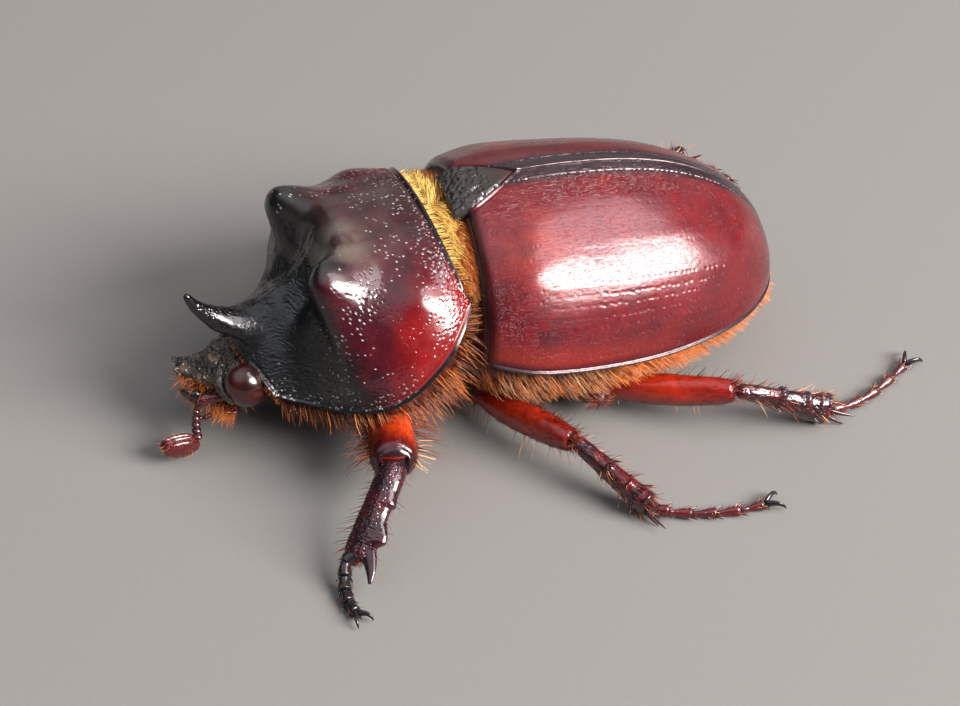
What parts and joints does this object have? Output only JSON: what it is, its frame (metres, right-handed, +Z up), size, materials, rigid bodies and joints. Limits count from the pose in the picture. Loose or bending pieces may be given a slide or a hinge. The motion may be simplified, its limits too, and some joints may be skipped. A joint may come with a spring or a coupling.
{
  "type": "rhinoceros beetle",
  "caption": "Life-size still model of an ox beetle, a short-horned rhinoceros beetle: one horn on the pronotum, glossy red-brown wing cases, legs spread on the floor.",
  "frame": {"origin": "centre of the bounding box on the floor plane", "axes": "+Z up, -Y the way the head points, +X the beetle's left"},
  "size_m": [0.0392, 0.0502, 0.0156],
  "materials": {
    "horn_black": "glossy black chitin",
    "shell_wine": "glossy wine-red to black chitin",
    "shell_red": "glossy mahogany red chitin",
    "body_dark": "satin dark brown chitin",
    "leg_red": "glossy red chitin",
    "leg_dark": "glossy dark red-brown chitin",
    "eye_brown": "glossy dark brown lens",
    "hair_gold": "dense golden hair"
  },
  "bodies": {
    "root": {"abdomen": "body_dark", "antenna_club_left": "leg_red", "antenna_club_right": "leg_red", "antenna_left": "leg_red", "antenna_right": "leg_red", "claws_front_left": "horn_black", "claws_front_right": "horn_black", "claws_hind_left": "horn_black", "claws_hind_right": "horn_black", "claws_mid_left": "horn_black", "claws_mid_right": "horn_black", "collar": "hair_gold", "coxa_front_left": "body_dark", "coxa_front_right": "body_dark", "coxa_hind_left": "body_dark", "coxa_hind_right": "body_dark", "coxa_mid_left": "body_dark", "coxa_mid_right": "body_dark", "elytron_left": "shell_red", "elytron_right": "shell_red", "eye_left": "eye_brown", "eye_right": "eye_brown", "femur_front_left": "leg_red", "femur_front_right": "leg_red", "femur_hind_left": "leg_red", "femur_hind_right": "leg_red", "femur_mid_left": "leg_red", "femur_mid_right": "leg_red", "head": "horn_black", "horn": "horn_black", "mandible_left": "horn_black", "mandible_right": "horn_black", "mouthparts": "body_dark", "pronotum": "shell_wine", "prothorax_underside": "body_dark", "pygidium": "body_dark", "scutellum": "horn_black", "tarsus_front_left": "leg_dark", "tarsus_front_right": "leg_dark", "tarsus_hind_left": "leg_dark", "tarsus_hind_right": "leg_dark", "tarsus_mid_left": "leg_dark", "tarsus_mid_right": "leg_dark", "thorax_underside": "body_dark", "tibia_front_left": "leg_dark", "tibia_front_right": "leg_dark", "tibia_hind_left": "leg_dark", "tibia_hind_right": "leg_dark", "tibia_mid_left": "leg_dark", "tibia_mid_right": "leg_dark"}
  },
  "joints": []
}
